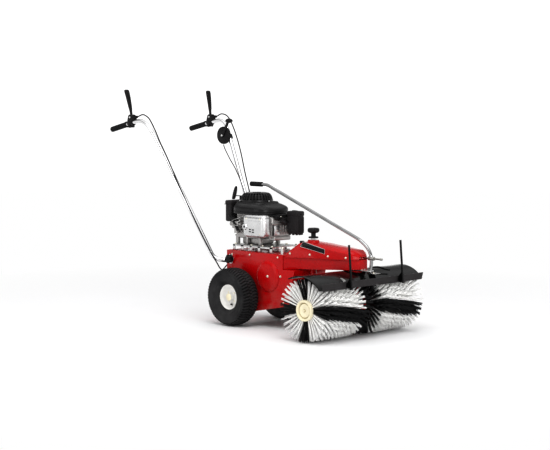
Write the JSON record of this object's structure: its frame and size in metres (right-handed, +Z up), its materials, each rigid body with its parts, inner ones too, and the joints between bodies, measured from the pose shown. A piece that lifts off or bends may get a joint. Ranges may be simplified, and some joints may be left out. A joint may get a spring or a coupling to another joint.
{
  "type": "walk-behind sweeper",
  "caption": "Engine-driven walk-behind sweeper: wheeled chassis, hollow belt arm, swivelling roller brush under a hood, support caster and long handles with clutch levers.",
  "frame": {"origin": "on the floor under the middle of the wheel axle, which is also the middle of the bounding box's base", "axes": "+Z up, -Y forward towards the brush, +X to the operator's left"},
  "size_m": [0.84, 1.89, 1.35],
  "materials": {
    "red_paint": "gloss enamel",
    "zinc": "bright zinc plating",
    "aluminium": "as cast",
    "black_plastic": "moulded",
    "rubber": "satin",
    "tyre_rubber": "matt",
    "steel": "machined",
    "chrome": "polished plating",
    "white_paint": "satin enamel",
    "black_paint": "gloss enamel",
    "cream_plastic": "moulded",
    "bristles": "white and black filament rows"
  },
  "bodies": {
    "chassis": {"chassis_shell": "red_paint", "side_cover": "red_paint", "arm_channel": "red_paint", "arm_cover": "red_paint", "engine_plate": "zinc", "engine_block": "aluminium", "cylinder_head": "aluminium", "muffler_guard": "aluminium", "engine_shroud": "black_plastic", "recoil_housing": "black_plastic", "fuel_tank": "black_plastic", "air_filter_box": "black_plastic", "carburettor": "aluminium", "transmission_case": "aluminium", "brush_belt": "rubber", "drive_belt": "rubber"},
    "fuel_cap": {"fuel_cap": "black_plastic"},
    "recoil": {"recoil_grip": "black_plastic"},
    "crank": {"crankshaft": "steel", "engine_pulley": "steel"},
    "axle": {"drive_axle": "steel"},
    "transmission_input": {"transmission_pulley": "steel"},
    "wheel_right": {"tyre_right": "tyre_rubber", "rim_right": "white_paint"},
    "wheel_left": {"tyre_left": "tyre_rubber", "rim_left": "white_paint"},
    "handle_right": {"handle_tube_right": "chrome", "grip_right": "rubber", "lever_clamp_right": "black_plastic", "drive_cable": "rubber"},
    "handle_left": {"handle_tube_left": "chrome", "grip_left": "rubber", "lever_clamp_left": "black_plastic", "brush_cable": "rubber", "throttle_cable": "rubber", "throttle_case": "black_plastic"},
    "lever_right": {"clutch_lever_right": "black_plastic"},
    "lever_left": {"clutch_lever_left": "black_plastic"},
    "throttle": {"throttle_lever": "black_plastic"},
    "knob_right": {"star_knob_right": "black_plastic"},
    "knob_left": {"star_knob_left": "black_plastic"},
    "brush_tensioner": {"brush_idler": "zinc"},
    "drive_tensioner": {"drive_idler": "zinc"},
    "height_screw": {"height_knob": "black_plastic"},
    "caster_slide": {"caster_column": "black_paint"},
    "caster_yoke": {"caster_fork": "black_paint"},
    "caster_roller": {"caster_wheel": "rubber"},
    "brush_head": {"brush_gearbox": "red_paint", "brush_hood": "black_paint", "front_bar": "black_paint", "hood_strut": "black_paint", "steer_lever": "chrome", "steer_grip": "black_plastic"},
    "lock": {"lock_pin": "zinc"},
    "brush_input": {"brush_pulley": "aluminium"},
    "brush": {"brush_shaft": "steel", "brush_right": "bristles", "brush_left": "bristles", "brush_cap_right": "cream_plastic", "brush_cap_left": "cream_plastic"}
  },
  "joints": [
    {"name": "wheel_right_spin", "type": "hinge", "parent": "chassis", "child": "wheel_right", "pos_m": [-0.207, 0, 0.165], "axis": [1, 0, 0], "continuous": true},
    {"name": "wheel_left_spin", "type": "hinge", "parent": "chassis", "child": "wheel_left", "pos_m": [0.207, 0, 0.165], "axis": [1, 0, 0], "continuous": true},
    {"name": "transmission_spin", "type": "hinge", "parent": "chassis", "child": "transmission_input", "pos_m": [0, -0.15, 0.3], "axis": [0, 0, 1], "continuous": true},
    {"name": "axle_spin", "type": "hinge", "parent": "chassis", "child": "axle", "pos_m": [0, 0, 0.165], "axis": [1, 0, 0], "continuous": true},
    {"name": "crank_spin", "type": "hinge", "parent": "chassis", "child": "crank", "pos_m": [0, 0.015, 0.5], "axis": [0, 0, 1], "continuous": true},
    {"name": "recoil_pull", "type": "slide", "parent": "chassis", "child": "recoil", "axis": [0, 1, 0], "range_m": [0, 0.19], "stiffness_N_per_m": 25},
    {"name": "fuel_cap_turn", "type": "hinge", "parent": "chassis", "child": "fuel_cap", "pos_m": [0.025, 0.16, 0.705], "axis": [0, 0, 1], "range_deg": [0, 90]},
    {"name": "handle_right_tilt", "type": "hinge", "parent": "chassis", "child": "handle_right", "pos_m": [-0.1335, 0.095, 0.37], "axis": [1, 0, 0], "range_deg": [-8, 12]},
    {"name": "handle_left_tilt", "type": "hinge", "parent": "chassis", "child": "handle_left", "pos_m": [0.1335, 0.095, 0.37], "axis": [1, 0, 0], "range_deg": [-8, 12]},
    {"name": "knob_right_turn", "type": "hinge", "parent": "handle_right", "child": "knob_right", "pos_m": [-0.1335, 0.095, 0.37], "axis": [1, 0, 0], "range_deg": [-180, 180]},
    {"name": "knob_left_turn", "type": "hinge", "parent": "handle_left", "child": "knob_left", "pos_m": [0.1335, 0.095, 0.37], "axis": [1, 0, 0], "range_deg": [-180, 180]},
    {"name": "clutch_right_squeeze", "type": "hinge", "parent": "handle_right", "child": "lever_right", "pos_m": [-0.32, 0.757, 1.185], "axis": [-1, 0, 0], "range_deg": [0, 60], "stiffness_Nm_per_rad": 1.2},
    {"name": "clutch_left_squeeze", "type": "hinge", "parent": "handle_left", "child": "lever_left", "pos_m": [0.32, 0.757, 1.185], "axis": [-1, 0, 0], "range_deg": [0, 60], "stiffness_Nm_per_rad": 1.2},
    {"name": "throttle_turn", "type": "hinge", "parent": "handle_left", "child": "throttle", "pos_m": [0.2785, 0.59, 1.072], "axis": [1, 0, 0], "range_deg": [-45, 15]},
    {"name": "brush_tensioner_swing", "type": "hinge", "parent": "chassis", "child": "brush_tensioner", "pos_m": [-0.095, -0.289, 0.395], "axis": [0, 0, -1], "range_deg": [0, 12.5]},
    {"name": "drive_tensioner_swing", "type": "hinge", "parent": "chassis", "child": "drive_tensioner", "pos_m": [0.09, -0.155, 0.36], "axis": [0, 0, 1], "range_deg": [0, 12.5]},
    {"name": "height_knob_turn", "type": "hinge", "parent": "chassis", "child": "height_screw", "pos_m": [0, -0.438, 0.5], "axis": [0, 0, 1], "range_deg": [-1080, 1080]},
    {"name": "caster_lift", "type": "slide", "parent": "chassis", "child": "caster_slide", "axis": [0, 0, 1], "range_m": [-0.018, 0.018]},
    {"name": "caster_swivel", "type": "hinge", "parent": "caster_slide", "child": "caster_yoke", "pos_m": [0, -0.35, 0.18], "axis": [0, 0, 1], "continuous": true},
    {"name": "caster_roll", "type": "hinge", "parent": "caster_yoke", "child": "caster_roller", "pos_m": [0, -0.315, 0.075], "axis": [1, 0, 0], "continuous": true},
    {"name": "head_swivel", "type": "hinge", "parent": "chassis", "child": "brush_head", "pos_m": [0, -0.735, 0.36], "axis": [0, 0, 1], "range_deg": [-15, 15]},
    {"name": "lock_pin_pull", "type": "slide", "parent": "brush_head", "child": "lock", "axis": [0, -1, 0], "range_m": [-0.014, 0.012], "stiffness_N_per_m": 200},
    {"name": "brush_spin", "type": "hinge", "parent": "brush_head", "child": "brush", "pos_m": [0, -0.735, 0.1725], "axis": [1, 0, 0], "continuous": true},
    {"name": "brush_pulley_spin", "type": "hinge", "parent": "brush_head", "child": "brush_input", "pos_m": [0, -0.735, 0.395], "axis": [0, 0, 1], "continuous": true}
  ],
  "couplings": [
    {"joint": "axle_spin", "follows": "transmission_spin", "ratio": 0.04},
    {"joint": "brush_pulley_spin", "follows": "brush_spin", "ratio": 4},
    {"joint": "height_knob_turn", "follows": "caster_lift", "rad_per_m": 1047.2},
    {"joint": "brush_tensioner_swing", "follows": "clutch_left_squeeze", "ratio": 0.2},
    {"joint": "drive_tensioner_swing", "follows": "clutch_right_squeeze", "ratio": 0.2}
  ]
}
